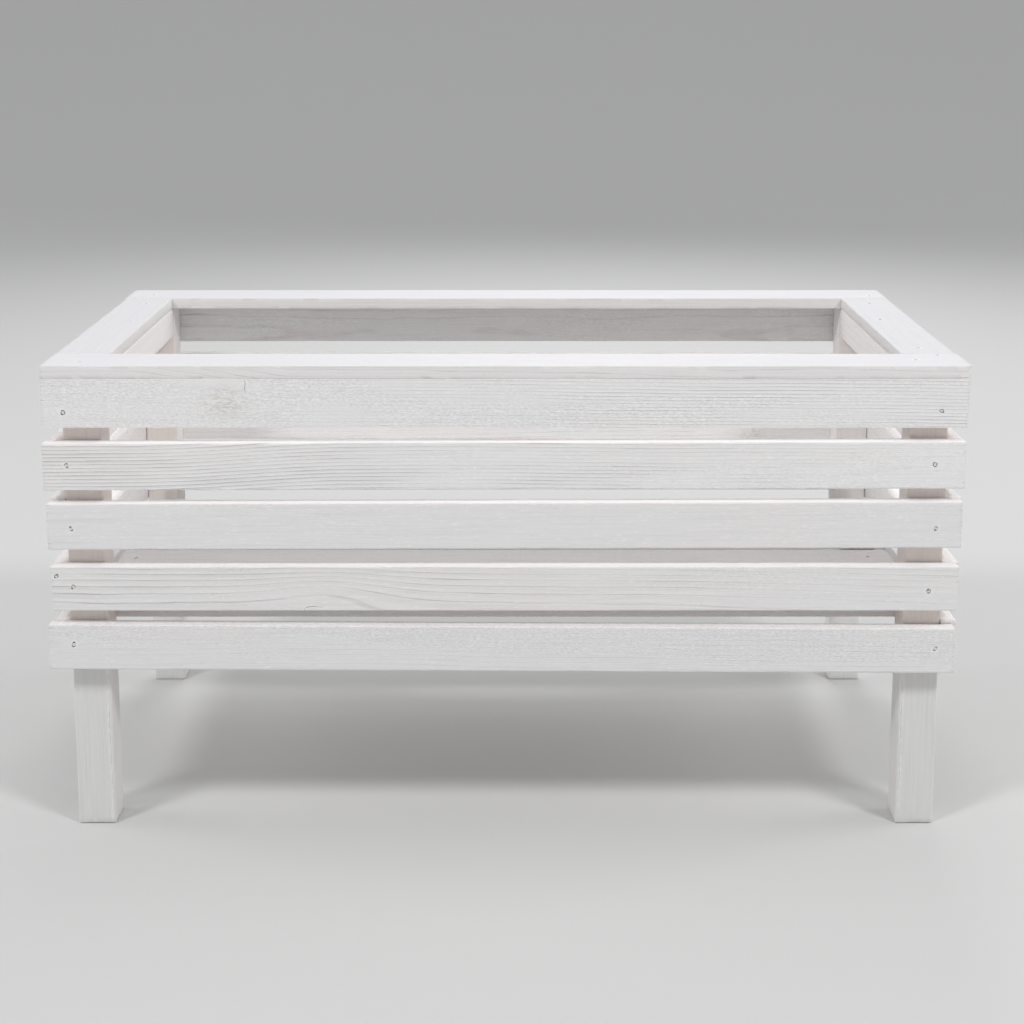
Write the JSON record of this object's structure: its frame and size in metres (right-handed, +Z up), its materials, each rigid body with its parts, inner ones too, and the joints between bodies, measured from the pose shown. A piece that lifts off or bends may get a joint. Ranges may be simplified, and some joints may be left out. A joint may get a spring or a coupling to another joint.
{
  "type": "slatted raised planter",
  "caption": "Empty raised garden planter of whitewashed softwood: a slatted rectangular box with a flat rim and a spaced board floor, standing on square legs.",
  "frame": {"origin": "on the ground, under the middle of the planter", "axes": "+X along the planter's length, to the right seen from the front; +Y from the front to the back; +Z up"},
  "size_m": [1.0056, 0.53, 0.53],
  "materials": {
    "rim_paint": "smooth planed softwood, matt white paint",
    "slat_paint": "sawn softwood, thin matt white paint over raised grain",
    "leg_paint": "square softwood, thin matt white paint",
    "rail_paint": "sawn softwood, thin matt white paint",
    "floor_paint": "sawn softwood, thin matt white paint",
    "nail_steel": "dull steel, sunk below the paint"
  },
  "bodies": {
    "root": {"rim_front": "rim_paint", "rim_back": "rim_paint", "rim_left": "rim_paint", "rim_right": "rim_paint", "slat_front_1": "slat_paint", "slat_front_2": "slat_paint", "slat_front_3": "slat_paint", "slat_front_4": "slat_paint", "slat_front_5": "slat_paint", "slat_back_1": "slat_paint", "slat_back_2": "slat_paint", "slat_back_3": "slat_paint", "slat_back_4": "slat_paint", "slat_back_5": "slat_paint", "slat_left_1": "slat_paint", "slat_left_2": "slat_paint", "slat_left_3": "slat_paint", "slat_left_4": "slat_paint", "slat_left_5": "slat_paint", "slat_right_1": "slat_paint", "slat_right_2": "slat_paint", "slat_right_3": "slat_paint", "slat_right_4": "slat_paint", "slat_right_5": "slat_paint", "leg_front_left": "leg_paint", "leg_front_right": "leg_paint", "leg_back_left": "leg_paint", "leg_back_right": "leg_paint", "rail_top_left": "rail_paint", "rail_top_right": "rail_paint", "floor_rail_front": "rail_paint", "floor_rail_back": "rail_paint", "floor_bearer_left": "rail_paint", "floor_bearer_right": "rail_paint", "floor_board_1": "floor_paint", "floor_board_2": "floor_paint", "floor_board_3": "floor_paint", "floor_board_4": "floor_paint", "nail_front_1_left": "nail_steel", "nail_front_1_right": "nail_steel", "nail_front_2_left": "nail_steel", "nail_front_2_right": "nail_steel", "nail_front_3_left": "nail_steel", "nail_front_3_right": "nail_steel", "nail_front_4_left": "nail_steel", "nail_front_4_right": "nail_steel", "nail_front_5_left": "nail_steel", "nail_front_5_right": "nail_steel", "nail_front_corner": "nail_steel", "nail_back_1_left": "nail_steel", "nail_back_1_right": "nail_steel", "nail_back_2_left": "nail_steel", "nail_back_2_right": "nail_steel", "nail_back_3_left": "nail_steel", "nail_back_3_right": "nail_steel", "nail_back_4_left": "nail_steel", "nail_back_4_right": "nail_steel", "nail_back_5_left": "nail_steel", "nail_back_5_right": "nail_steel"}
  },
  "joints": []
}
